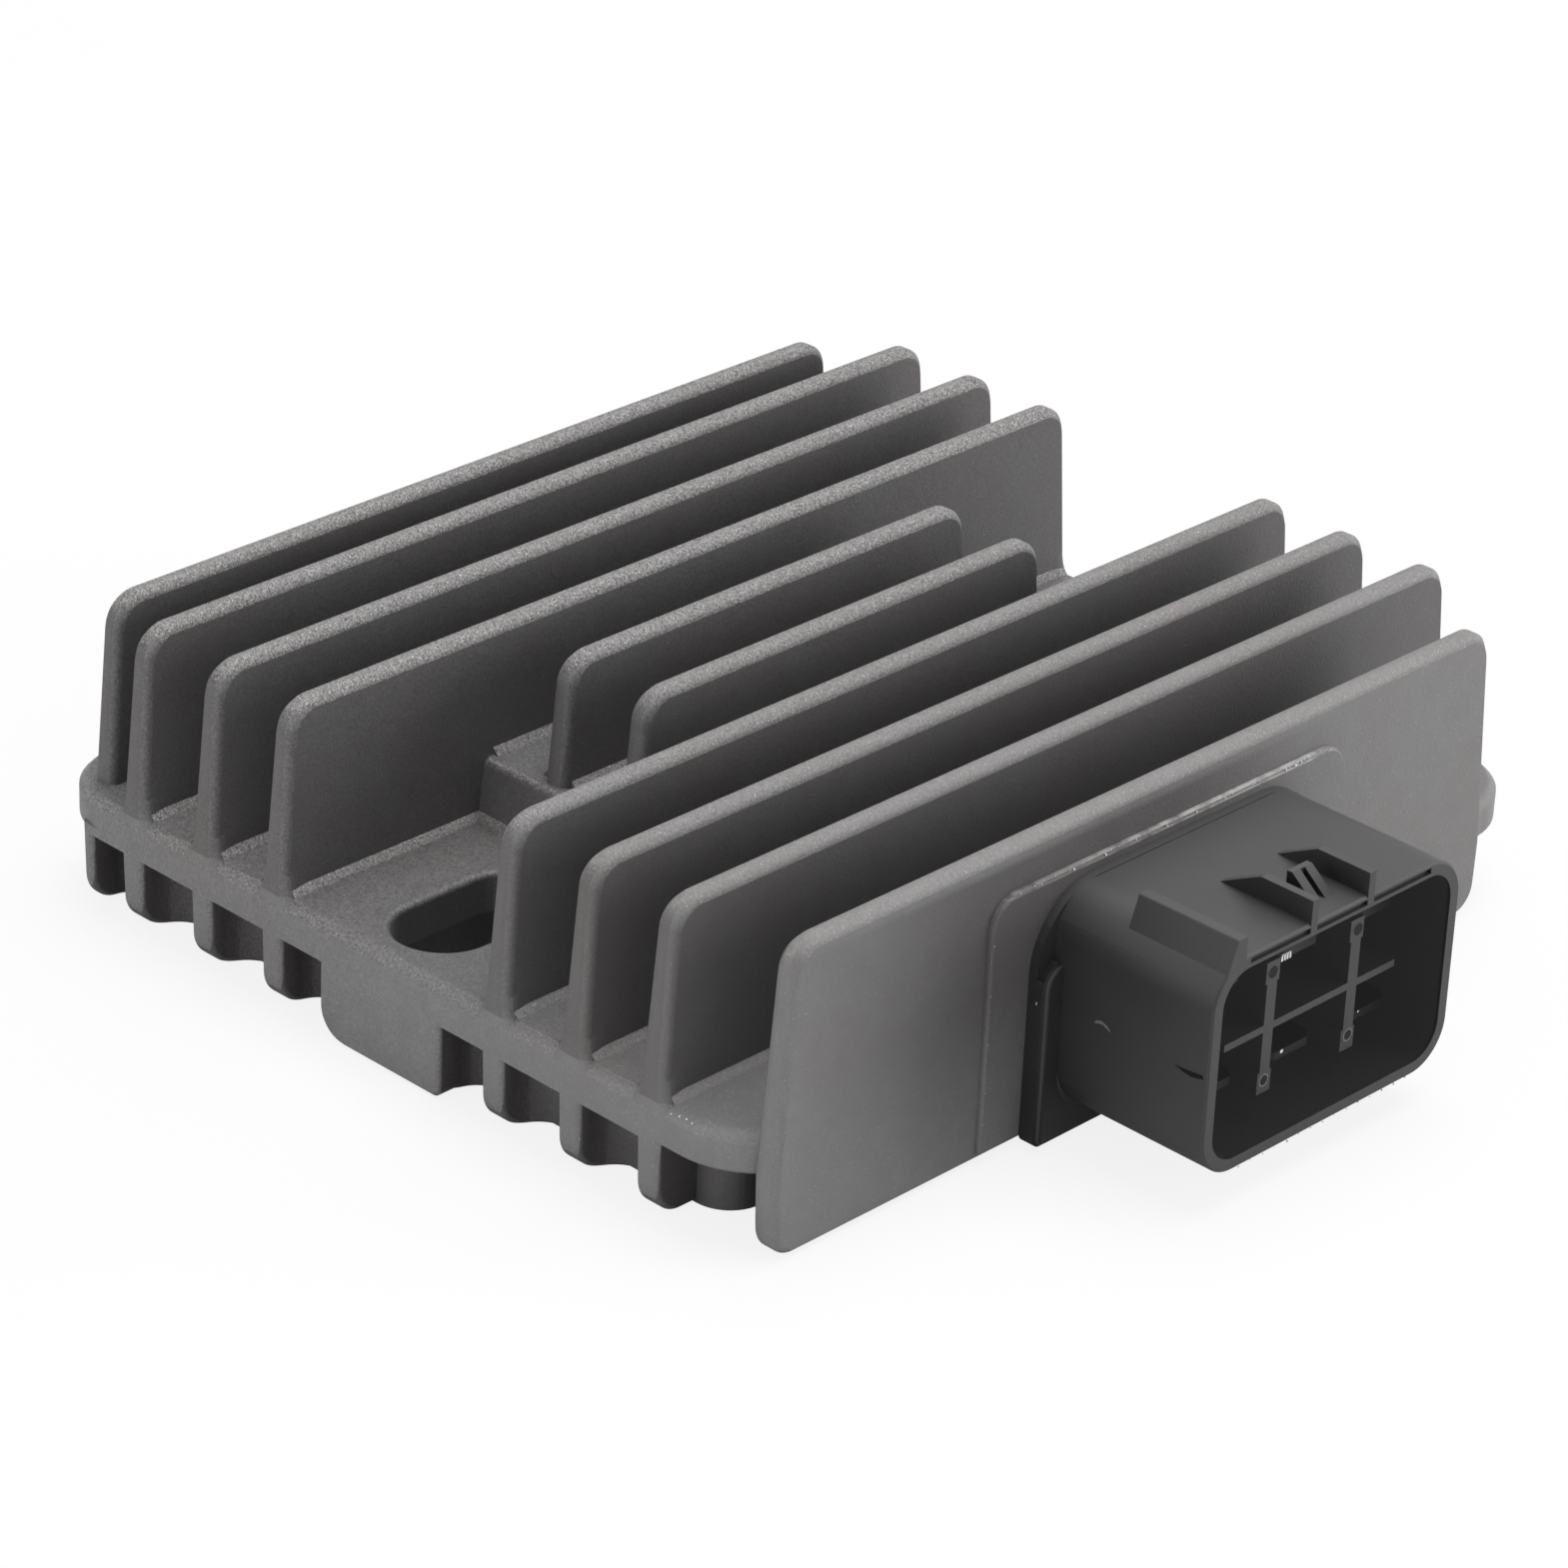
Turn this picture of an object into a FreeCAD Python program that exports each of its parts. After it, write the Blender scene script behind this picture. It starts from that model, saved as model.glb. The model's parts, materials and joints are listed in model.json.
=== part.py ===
import FreeCAD, Part
import math
import os

# Voltage regulator rectifier. Millimetres, +Z up with the tall fins on top, +X out of the
# connector, +Y along the fins. Z = 0 is the plane of the mounting feet and the origin lies
# midway between the two mounting slots.

V = FreeCAD.Vector
os.makedirs("parts", exist_ok=True)

# fins of the casting
fin_pitch = 9.5
fin_count = 10
fin_tip = 2.45
fin_draft = 0.022
fin_tip_z = 29.6
fin_half_length = 50.2
fin_end_lean = 0.072
fin_corner_r = 3.2
fin_root = 0.7
rim_bevel = 0.75

# first fin and the wall on the connector side, both set back from the other fins' ends
left_wall_x = -40.15
outer_face_x = 46.15
side_wall_thickness = 2.9
side_wall_near = 47.9
left_wall_far = 43.45
outer_wall_far = 42.5
foot_set_back = 0.3

# plate between the upper fins and the feet
floor_z = 11.4
plate_bottom_z = 7.4
plate_half_x = 46.15
plate_half_y = 51.65
plate_cover = 0.15
plate_corner_r = 9.0
plate_top_bevel = 1.0
plate_bottom_bevel = 0.45

# plateau that carries the short fins
short_fins = (5, 6)
plateau_top_z = 17.2
plateau_gap = 12.7
plateau_slope = 1.0
plateau_round = 1.0
short_fin_set_back = 1.7

# feet, stubs and the walls of the open underside
foot_corner_r = 3.2
stub_thickness = 2.8
stub_set_back = 0.25
stub_length = 4.85
stub_bevel = 0.45
gap_back_r = 3.35
wall_thickness = 2.4
boss_half_x = 7.8
boss_reach = 12.0
boss_left_r = 3.2
boss_right_r = 1.0
boss_bevel = 0.4
notch_x = 38.5
notch_depth = 9.3
notch_edge_r = 3.8
cavity_corner_r = 2.0

# mounting slots, 80 apart
slot_inset = 11.65
slot_width = 9.2
slot_length = 17.2
slot_bevel = 0.55

# raised pad under the connector
pad_height = 0.5
pad_near_y = -24.6
pad_far_y = 21.6
pad_top_z = 25.5
pad_bottom_z = 1.0
pad_corner_r = 3.0
pad_bevel = 0.25

# connector shroud
conn_y = -1.35
conn_mid_z = 13.95
conn_width = 32.6
conn_height = 20.9
conn_corner_r = 4.4
conn_wall = 1.25
conn_rim_x = 65.2
conn_floor_x = 52.0
mouth_bevel = 0.2
rim_groove_width = 0.55
rim_groove_depth = 0.35

# flange behind the shroud
flange_half_width = 18.35
flange_bottom_z = 0.4
flange_top_z = 24.5
flange_corner_r = 7.4
flange_low_corner_r = 1.0
flange_thin = 0.9
flange_thick = 2.1
flange_step_z = 18.2
flange_step_r = 2.2
flange_bevel = 0.5

# ribs and latch on the roof of the shroud
rib_height = 2.2
rib_thickness = 0.85
guide_offset = 3.75
guide_length = 10.1
guide_ramp = 4.3
corner_rib_inset = 3.75
corner_rib_thickness = 1.15
corner_rib_slope = 1.15
corner_rib_drop = 1.3
corner_rib_height = 1.9
corner_rib_length = 11.0
corner_rib_tip_r = 0.2
latch_x = 59.9
latch_length = 3.1
latch_width = 2.6
latch_height = 2.0
latch_crest = 0.6
latch_slot = 0.6

# partition in the mouth of the connector
partition_setback = 2.5
bar_offset = 5.55
bar_half_height = 6.45
bar_thickness = 1.3
crossbar_half_width = 11.3
crossbar_thickness = 0.7
head_width = 1.75
head_length = 2.1
pin_mark_r = 0.7
pin_mark_depth = 0.2

# terminals
column_pitch = 10.2
row_offset = 5.0
blade_width = 6.3
blade_taper = 1.0
metal = 0.8
blade_tip_setback = 4.2
riser_x = 48.0
riser_step = 1.9
tail_width = 2.4
tail_offset = 1.9
tail_reach = 6.75

# tongue of the connector in the window of the wall
tongue_cover = 1.7
tongue_reach = 1.1
window_gap = 0.15

# power devices, their sheets and the board
potting_recess = 0.8
sheet_thickness = 0.3
sheet_margin = 1.0
device_height = 3.2
device_width = 10.2
device_length = 13.0
device_pitch = 15.0
device_count = 3
device_wall_gap = 5.2
lead_width = 0.9
lead_thickness = 0.6
lead_pitch = 2.54
lead_height = 1.2
lead_reach = 2.2
lead_stub = 0.8
board_thickness = 1.6
board_edge_gap = 1.2
tail_clearance = 1.0

# control parts on the board: length along X, width along Y, height
control_size = (5.0, 6.2, 1.7)
control_y = -6.0
capacitor_size = (5.0, 5.7, 2.6)
capacitor_y = 7.0
reference_size = (4.6, 2.6, 2.1)
reference_y = 16.0
control_x = -2.5
resistor_size = (3.2, 6.3, 0.6)
resistor_x = -26.0
resistor_y = -30.0
resistor_pitch = 6.0

# sizes that follow from the ones above
wall_inner_x = outer_face_x - side_wall_thickness
left_inner_x = left_wall_x + side_wall_thickness / 2
pad_face_x = outer_face_x + pad_height
conn_top_z = conn_mid_z + conn_height / 2
device_top_z = plate_bottom_z - sheet_thickness
board_top_z = device_top_z - device_height
board_bottom_z = board_top_z - board_thickness
slot_y = plate_half_y - slot_inset
stub_end_y = plate_half_y - stub_set_back
wall_outer_y = plate_half_y - stub_length
notch_y = wall_outer_y - notch_depth
cavity_half_y = wall_outer_y - wall_thickness
boss_inner_y = slot_y - boss_reach
plateau_half_y = slot_y - plateau_gap
short_fin_half_length = plateau_half_y - short_fin_set_back
pad_root = side_wall_thickness / 3


def box(x0, x1, y0, y1, z0, z1):
    return Part.makeBox(x1 - x0, y1 - y0, z1 - z0, V(x0, y0, z0))


def rounded_face(points, radii):
    # closed outline through the points, each corner turned by its own radius
    count = len(points)
    ends, arcs = [], []
    for i in range(count):
        corner, before, after = points[i], points[i - 1], points[(i + 1) % count]
        if radii[i] <= 0:
            ends.append((corner, corner))
            arcs.append(None)
            continue
        toward_before = (before - corner).normalize()
        toward_after = (after - corner).normalize()
        half = toward_before.getAngle(toward_after) / 2
        reach = radii[i] / math.tan(half)
        bisector = (toward_before + toward_after).normalize()
        centre = corner + bisector * (radii[i] / math.sin(half))
        first = corner + toward_before * reach
        last = corner + toward_after * reach
        ends.append((first, last))
        arcs.append(Part.Arc(first, centre - bisector * radii[i], last).toShape())
    edges = []
    for i in range(count):
        if arcs[i] is not None:
            edges.append(arcs[i])
        leave, arrive = ends[i][1], ends[(i + 1) % count][0]
        if leave.distanceToPoint(arrive) > 1e-6:
            edges.append(Part.makeLine(leave, arrive))
    return Part.Face(Part.Wire(edges))


def plan_prism(outline, radii, z0, z1):
    return rounded_face([V(x, y, z0) for x, y in outline], radii).extrude(V(0, 0, z1 - z0))


def side_prism(outline, radii, x0, x1):
    return rounded_face([V(x0, y, z) for y, z in outline], radii).extrude(V(x1 - x0, 0, 0))


def end_prism(outline, y0, y1, radii=None):
    radii = radii or [0] * len(outline)
    return rounded_face([V(x, y0, z) for x, z in outline], radii).extrude(V(0, y1 - y0, 0))


def slot_prism(y_mid, z0, z1):
    half, run = slot_width / 2, (slot_length - slot_width) / 2
    outline = [(-half, y_mid - run - half), (half, y_mid - run - half),
               (half, y_mid + run + half), (-half, y_mid + run + half)]
    return plan_prism(outline, [half * 0.999] * 4, z0, z1)


def fused(shapes):
    return shapes[0].multiFuse(shapes[1:])


def bevelled(solid, size, is_rim):
    return solid.makeChamfer(size, [edge for edge in solid.Edges if is_rim(edge)])


def runs_across(edge):
    ends = [vertex.Point for vertex in edge.Vertexes]
    return len(ends) == 2 and abs((ends[1] - ends[0]).normalize().x) > 0.9


def level_at(edge, z):
    bounds = edge.BoundBox
    return abs(bounds.ZMax - z) < 0.01 and bounds.ZLength < 0.01


def fin_x(index):
    return (index - (fin_count + 1) / 2) * fin_pitch


def upper_fin(x_mid, half_length, foot_z):
    # tapered blade with leaning ends, its whole rim broken by a bevel
    height = fin_tip_z - foot_z
    foot_half = fin_tip / 2 + fin_draft * height
    spread = half_length + fin_end_lean * height
    side = [(-spread, foot_z), (spread, foot_z), (half_length, fin_tip_z), (-half_length, fin_tip_z)]
    blade = side_prism(side, [0, 0, fin_corner_r, fin_corner_r], x_mid - foot_half, x_mid + foot_half)
    taper = end_prism([(x_mid - foot_half, foot_z), (x_mid + foot_half, foot_z),
                       (x_mid + fin_tip / 2, fin_tip_z), (x_mid - fin_tip / 2, fin_tip_z)],
                      -spread - 1, spread + 1)
    return bevelled(blade.common(taper), rim_bevel,
                    lambda e: not runs_across(e) and e.BoundBox.ZMax > foot_z + 0.01)


def hollow_corner(place, start, run, foot_z, direction):
    # sloping strip between an upright face and the floor; place maps (across, along, up)
    r, deep = fin_root, fin_root / 2
    outline = [(0, r), (-direction * deep, r), (-direction * deep, -deep), (direction * r, -deep),
               (direction * r, 0)]
    profile = Part.makePolygon([place(a, start, foot_z + z) for a, z in outline + outline[:1]])
    return Part.Face(profile).extrude(place(0, start + run, 0) - place(0, start, 0))


def root_along_y(x, direction, half_length, foot_z):
    return hollow_corner(lambda a, along, z: V(x + a, along, z), -half_length, 2 * half_length,
                         foot_z, direction)


def root_along_x(y, direction, x0, x1, foot_z):
    return hollow_corner(lambda a, along, z: V(along, y + a, z), x0, x1 - x0, foot_z, direction)


def side_wall(x_inner, x_outer, far):
    # wall from the mounting plane to the fin tips, its ends leaning in above the plate
    near = side_wall_near
    lean = fin_end_lean * (fin_tip_z - plate_bottom_z)
    side = [(-near - lean + foot_set_back, 0), (far + lean - foot_set_back, 0),
            (far + lean, plate_bottom_z), (far, fin_tip_z), (-near, fin_tip_z),
            (-near - lean, plate_bottom_z)]
    radii = [foot_corner_r, foot_corner_r, 0, fin_corner_r, fin_corner_r, 0]
    slab = side_prism(side, radii, min(x_inner, x_outer), max(x_inner, x_outer))
    mid, half = (x_inner + x_outer) / 2, fin_tip / 2
    toward = half if x_outer > x_inner else -half
    taper = end_prism([(x_inner, 0), (x_outer, 0), (mid + toward, fin_tip_z), (mid - toward, fin_tip_z)],
                      -near - 2 * lean, near + 2 * lean)
    return bevelled(slab.common(taper), rim_bevel, lambda e: not runs_across(e))


def base_plate():
    right = outer_face_x - plate_cover
    outline = [(-plate_half_x, -plate_half_y), (right, -plate_half_y), (right, plate_half_y),
               (-plate_half_x, plate_half_y)]
    plate = plan_prism(outline, [plate_corner_r] * 4, plate_bottom_z, floor_z)
    plate = bevelled(plate, plate_top_bevel, lambda e: level_at(e, floor_z))
    return bevelled(plate, plate_bottom_bevel, lambda e: level_at(e, plate_bottom_z))


def fins_and_plateau():
    pieces = []
    draft = fin_draft * (fin_tip_z - floor_z)
    foot_half = fin_tip / 2 + draft
    strip_half = plate_half_y - plate_top_bevel
    for index in range(2, fin_count):
        x = fin_x(index)
        if index in short_fins:
            pieces.append(upper_fin(x, short_fin_half_length, plateau_top_z))
            half_here = fin_tip / 2 + fin_draft * (fin_tip_z - plateau_top_z)
            length, foot_z = short_fin_half_length, plateau_top_z
        else:
            pieces.append(upper_fin(x, fin_half_length, floor_z))
            half_here, length, foot_z = foot_half, strip_half, floor_z
        for direction in (-1, 1):
            pieces.append(root_along_y(x + direction * half_here, direction, length, foot_z))

    # plateau between the fins on either side of the short ones
    x0, x1 = fin_x(short_fins[0] - 1), fin_x(short_fins[-1] + 1)
    half, low = plateau_half_y, plateau_half_y + plateau_slope
    pieces.append(side_prism([(-low, floor_z - 1), (low, floor_z - 1), (half, plateau_top_z),
                              (-half, plateau_top_z)], [0, 0, plateau_round, plateau_round], x0, x1))
    flank = fin_tip / 2 + fin_draft * (fin_tip_z - plateau_top_z)
    pieces.append(root_along_y(x0 + flank, 1, half - plateau_round, plateau_top_z))
    pieces.append(root_along_y(x1 - flank, -1, half - plateau_round, plateau_top_z))
    edge_y = half + plateau_slope * (plateau_top_z - floor_z) / (plateau_top_z - floor_z + 1)
    for sign in (-1, 1):
        pieces.append(root_along_x(sign * edge_y, sign, x0, x1, floor_z))
    return pieces


def underside_outline(half_y, left, right, inner_x, inner_y):
    # plan of the walled underside with its two notched corners beside the connector wall
    return [(left, -half_y), (inner_x, -half_y), (inner_x, -inner_y), (right, -inner_y),
            (right, inner_y), (inner_x, inner_y), (inner_x, half_y), (left, half_y)]


def recess(x0, x1, sign):
    # open-fronted hollow between two stubs with a rounded back
    r = min((x1 - x0) / 2, gap_back_r) * 0.98
    back, front = sign * wall_outer_y, sign * (plate_half_y + 2)
    return plan_prism([(x0, front), (x0, back), (x1, back), (x1, front)], [0, r, r, 0],
                      -1, plate_bottom_z)


def feet():
    # solid foot under the plate, its two long ends cut into stubs that carry on the fins
    half_stub = stub_thickness / 2
    foot = side_prism([(-stub_end_y, 0), (stub_end_y, 0), (plate_half_y, plate_bottom_z + 1),
                       (-plate_half_y, plate_bottom_z + 1)], [foot_corner_r, foot_corner_r, 0, 0],
                      left_wall_x, fin_x(fin_count - 1) + half_stub)
    gaps = [(left_inner_x, fin_x(2) - half_stub)]
    gaps += [(fin_x(i) + half_stub, fin_x(i + 1) - half_stub)
             for i in range(2, fin_count - 1) if not boss_half_x > fin_x(i) > -boss_half_x - fin_pitch]
    gaps += [(fin_x(short_fins[0] - 1) + half_stub, -boss_half_x),
             (boss_half_x, fin_x(short_fins[-1] + 1) - half_stub)]
    for sign in (-1, 1):
        for x0, x1 in gaps:
            foot = foot.cut(recess(x0, x1, sign))
    foot = bevelled(foot, stub_bevel, lambda e: e.BoundBox.ZLength > stub_bevel
                    and e.BoundBox.XLength < 0.01
                    and abs(e.CenterOfMass.y) > stub_end_y - foot_corner_r / 2)
    walls = plan_prism(underside_outline(wall_outer_y, left_wall_x, wall_inner_x + pad_root, notch_x, notch_y),
                       [foot_corner_r, notch_edge_r, cavity_corner_r, 0, 0, cavity_corner_r,
                        notch_edge_r, foot_corner_r], 0, plate_bottom_z + 1)
    top = floor_z - plate_top_bevel
    boss = end_prism([(-boss_half_x, 0), (boss_half_x, 0), (boss_half_x, top), (-boss_half_x, top)],
                     -plate_half_y, plate_half_y, [boss_left_r, boss_right_r, 0, 0])
    boss = bevelled(boss, boss_bevel, lambda e: e.BoundBox.YLength < 0.01 and not level_at(e, top))
    return [foot, walls, boss]


def underside_space(inset, z0, z1, corner_r):
    # room inside the underside walls, round the two solid feet of the mounting slots
    outline = underside_outline(cavity_half_y - inset, left_inner_x + inset, wall_inner_x - inset,
                                notch_x - wall_thickness - inset, notch_y - wall_thickness - inset)
    shape = plan_prism(outline, [corner_r] * 8, z0, z1)
    half = boss_half_x + inset
    for sign in (-1, 1):
        near, far = sorted((sign * (boss_inner_y - inset), sign * plate_half_y))
        shape = shape.cut(box(-half, half, near, far, z0 - 1, z1 + 1))
    return shape


def tongue(grow):
    half = column_pitch + tail_offset + tail_width / 2 + tongue_cover / 2 + grow
    return box(wall_inner_x - tongue_reach, pad_face_x + pad_height, conn_y - half, conn_y + half,
               board_top_z - tongue_cover - grow, board_top_z + metal + tongue_cover + grow)


def heatsink_housing():
    left_outer_x = left_wall_x - side_wall_thickness / 2
    pieces = [base_plate()] + fins_and_plateau() + feet()
    pieces.append(side_wall(left_inner_x, left_outer_x, left_wall_far))
    pieces.append(side_wall(wall_inner_x, outer_face_x, outer_wall_far))
    pieces.append(root_along_y(left_inner_x, 1, left_wall_far, floor_z))
    pieces.append(root_along_y(left_outer_x, -1, left_wall_far, floor_z))
    pieces.append(root_along_y(wall_inner_x, -1, outer_wall_far, floor_z))

    # raised pad under the connector flange
    pad = side_prism([(pad_near_y, pad_bottom_z), (pad_far_y, pad_bottom_z), (pad_far_y, pad_top_z),
                      (pad_near_y, pad_top_z)], [0, 0, pad_corner_r, pad_corner_r],
                     outer_face_x - pad_root, pad_face_x)
    pieces.append(bevelled(pad, pad_bevel, lambda e: e.BoundBox.XMin > outer_face_x))
    body = fused(pieces).cut(underside_space(0, -1, plate_bottom_z, cavity_corner_r))

    # mounting slots, each with its upper edge broken
    for sign in (-1, 1):
        y_mid = sign * slot_y
        body = body.cut(slot_prism(y_mid, -1, floor_z + 1))
        body = bevelled(body, slot_bevel, lambda e: level_at(e, floor_z)
                        and abs(e.CenterOfMass.x) <= slot_width / 2 + 0.01
                        and abs(e.CenterOfMass.y - y_mid) <= slot_length / 2 + 0.01)

    # window for the connector's tongue
    return body.cut(tongue(window_gap)).removeSplitter().Solids[0]


def shroud_prism(inset, x0, x1):
    half_y, half_z, r = conn_width / 2 - inset, conn_height / 2 - inset, conn_corner_r - inset
    return side_prism([(conn_y - half_y, conn_mid_z - half_z), (conn_y + half_y, conn_mid_z - half_z),
                       (conn_y + half_y, conn_mid_z + half_z), (conn_y - half_y, conn_mid_z + half_z)],
                      [r] * 4, x0, x1)


def flange():
    near, far, x0 = conn_y - flange_half_width, conn_y + flange_half_width, pad_face_x
    low, top_r, step_r = flange_low_corner_r, flange_corner_r, flange_step_r
    thin = side_prism([(near, flange_bottom_z), (far, flange_bottom_z), (far, flange_top_z),
                       (near, flange_top_z)], [low, low, top_r, top_r], x0, x0 + flange_thin)
    thick = side_prism([(near, flange_bottom_z), (far, flange_bottom_z), (far, flange_step_z),
                        (near, flange_step_z)], [low, low, step_r, step_r], x0, x0 + flange_thick)
    return [thin, bevelled(thick, flange_bevel, lambda e: e.BoundBox.XMin > x0 + flange_thin)]


def guide_rib(y_mid):
    # rib on the roof of the shroud with a ramped rear end
    x0, base, top = conn_rim_x - guide_length, conn_top_z - conn_wall / 2, conn_top_z + rib_height
    return end_prism([(x0, base), (x0, conn_top_z), (x0 + guide_ramp, top), (conn_rim_x, top),
                      (conn_rim_x, base)], y_mid - rib_thickness / 2, y_mid + rib_thickness / 2)


def corner_rib():
    top, inner = conn_top_z + corner_rib_height, conn_y - conn_width / 2 + corner_rib_inset
    outer = inner - corner_rib_thickness
    return side_prism([(outer - corner_rib_slope, conn_top_z - corner_rib_drop),
                       (inner, conn_top_z - conn_wall / 2), (inner, top), (outer, top)],
                      [0, 0, 0, corner_rib_tip_r], conn_rim_x - corner_rib_length, conn_rim_x)


def latch_wedge():
    # upright rear face, slope down towards the mouth, split by a narrow slot
    base, top, x1 = conn_top_z - conn_wall / 2, conn_top_z + latch_height, latch_x + latch_length
    wedge = end_prism([(latch_x, base), (latch_x, top), (latch_x + latch_crest, top), (x1, conn_top_z),
                       (x1, base)], conn_y - latch_width / 2, conn_y + latch_width / 2)
    return wedge.cut(box(latch_x + latch_crest, x1, conn_y - latch_slot / 2, conn_y + latch_slot / 2,
                         conn_top_z, top))


def partition():
    x0, x1 = conn_floor_x - conn_wall / 2, conn_rim_x - partition_setback
    half = crossbar_thickness / 2
    pieces = [box(x0, x1, conn_y - crossbar_half_width, conn_y + crossbar_half_width,
                  conn_mid_z - half, conn_mid_z + half)]
    for side in (-1, 1):
        y = conn_y + side * bar_offset
        pieces.append(box(x0, x1, y - bar_thickness / 2, y + bar_thickness / 2,
                          conn_mid_z - bar_half_height, conn_mid_z + bar_half_height))

        # wider head at each end of the bar, with the shallow mark of a pin in its face
        for end in (-1, 1):
            low, high = sorted((conn_mid_z + end * (bar_half_height - head_length),
                                conn_mid_z + end * bar_half_height))
            head = box(x0, x1, y - head_width / 2, y + head_width / 2, low, high)
            pieces.append(head.cut(Part.makeCylinder(pin_mark_r, pin_mark_depth,
                                                     V(x1 - pin_mark_depth, y, (low + high) / 2), V(1, 0, 0))))
    return pieces


def connector_housing(terminals):
    shroud = bevelled(shroud_prism(0, pad_face_x, conn_rim_x), mouth_bevel,
                      lambda e: e.BoundBox.XMin > conn_rim_x - 0.01)
    guides = [guide_rib(conn_y - guide_offset), guide_rib(conn_y + guide_offset)]
    body = fused(flange() + [shroud, tongue(0), corner_rib(), latch_wedge()] + guides)
    body = body.cut(shroud_prism(conn_wall, conn_floor_x, conn_rim_x + 1))

    # shallow groove along the upper rim, between the ribs
    z_mid = conn_top_z - conn_wall / 2
    near, far = conn_y - conn_width / 2 + conn_corner_r, conn_y + conn_width / 2 - conn_corner_r
    for y0, y1 in ((near, conn_y - guide_offset - rib_thickness / 2),
                   (conn_y - guide_offset + rib_thickness / 2, conn_y + guide_offset - rib_thickness / 2),
                   (conn_y + guide_offset + rib_thickness / 2, far)):
        body = body.cut(box(conn_rim_x - rim_groove_depth, conn_rim_x + 1, y0, y1,
                            z_mid - rim_groove_width / 2, z_mid + rim_groove_width / 2))
    body = fused([body] + partition())
    for blade in terminals:
        body = body.cut(blade)
    return body.removeSplitter().Solids[0]


def terminal(column, row):
    # tinned blade, a riser inside the moulding and a tail that lies on the board
    z, y = conn_mid_z + row * row_offset, conn_y + column * column_pitch
    x_riser = riser_x + (riser_step if row < 0 else 0)
    tip, y_tail = conn_rim_x - blade_tip_setback, y + row * tail_offset
    half, half_tail = blade_width / 2, tail_width / 2
    blade = plan_prism([(x_riser, y - half), (tip - blade_taper, y - half), (tip, y - half + blade_taper),
                        (tip, y + half - blade_taper), (tip - blade_taper, y + half), (x_riser, y + half)],
                       [0] * 6, z - metal / 2, z + metal / 2)
    riser = box(x_riser, x_riser + metal, y_tail - half_tail, y_tail + half_tail, board_top_z, z)
    tail = box(wall_inner_x - tail_reach, x_riser + metal, y_tail - half_tail, y_tail + half_tail,
               board_top_z, board_top_z + metal)
    return fused([blade, riser, tail]).removeSplitter().Solids[0]


def power_device(x_back, y, facing):
    # flat package against the ceiling, three leads bent down through the board
    x_front = x_back + facing * device_length
    low, high = sorted((x_back, x_front))
    pieces = [box(low, high, y - device_width / 2, y + device_width / 2, board_top_z, device_top_z)]
    x_lead, z_lead = x_front + facing * lead_reach, board_top_z + lead_height
    for i in (-1, 0, 1):
        y0 = y + i * lead_pitch - lead_width / 2
        low, high = sorted((x_front - facing * lead_reach / 2, x_lead))
        pieces.append(box(low, high, y0, y0 + lead_width, z_lead, z_lead + lead_thickness))
        low, high = sorted((x_lead, x_lead - facing * lead_thickness))
        pieces.append(box(low, high, y0, y0 + lead_width, board_bottom_z - lead_stub,
                          z_lead + lead_thickness))
    return fused(pieces).removeSplitter().Solids[0]


def insulating_sheet(x_back, facing):
    reach = (device_count - 1) * device_pitch / 2 + device_width / 2 + sheet_margin
    low, high = sorted((x_back - facing * sheet_margin, x_back + facing * (device_length + sheet_margin)))
    return box(low, high, -reach, reach, device_top_z, plate_bottom_z)


def board_part(size, x, y):
    return box(x - size[0] / 2, x + size[0] / 2, y - size[1] / 2, y + size[1] / 2,
               board_top_z, board_top_z + size[2])


def power_stage():
    # three thyristors on the left and three diodes on the right, in one row per phase
    nodes = {}
    left = left_inner_x + device_wall_gap
    right = wall_inner_x - tail_reach - device_wall_gap - tail_clearance
    for i in range(device_count):
        y = (i - (device_count - 1) / 2) * device_pitch
        nodes["thyristor_%d" % (i + 1)] = power_device(left, y, 1)
        nodes["rectifier_diode_%d" % (i + 1)] = power_device(right, y, -1)
    board = underside_space(board_edge_gap, board_bottom_z, board_top_z, 0)
    for device in nodes.values():
        board = board.cut(device)
    nodes["circuit_board"] = board
    nodes["insulating_sheet_left"] = insulating_sheet(left, 1)
    nodes["insulating_sheet_right"] = insulating_sheet(right, -1)
    nodes["control_circuit"] = board_part(control_size, control_x, control_y)
    nodes["filter_capacitor"] = board_part(capacitor_size, control_x, capacitor_y)
    nodes["reference_diode"] = board_part(reference_size, control_x, reference_y)
    for i in range(3):
        nodes["gate_resistor_%d" % (i + 1)] = board_part(resistor_size, resistor_x + i * resistor_pitch,
                                                         resistor_y)
    return nodes


def build():
    terminals = [terminal(column, row) for row in (1, -1) for column in (-1, 0, 1)]
    nodes = {"heatsink_housing": heatsink_housing(), "connector_housing": connector_housing(terminals)}
    for i, blade in enumerate(terminals):
        nodes["terminal_%d" % (i + 1)] = blade
    inside = power_stage()
    potting = underside_space(0, potting_recess, plate_bottom_z, cavity_corner_r).cut(tongue(0))
    for shape in list(inside.values()) + terminals:
        potting = potting.cut(shape)
    nodes.update(inside)
    nodes["potting_compound"] = potting
    return nodes


for name, shape in build().items():
    shape.exportStep("parts/" + name + ".step")
    print(name, shape.isValid(), len(shape.Solids), round(shape.Volume, 1))
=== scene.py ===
import bpy
import bmesh
import json
import math
from mathutils import Matrix, Vector


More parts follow.
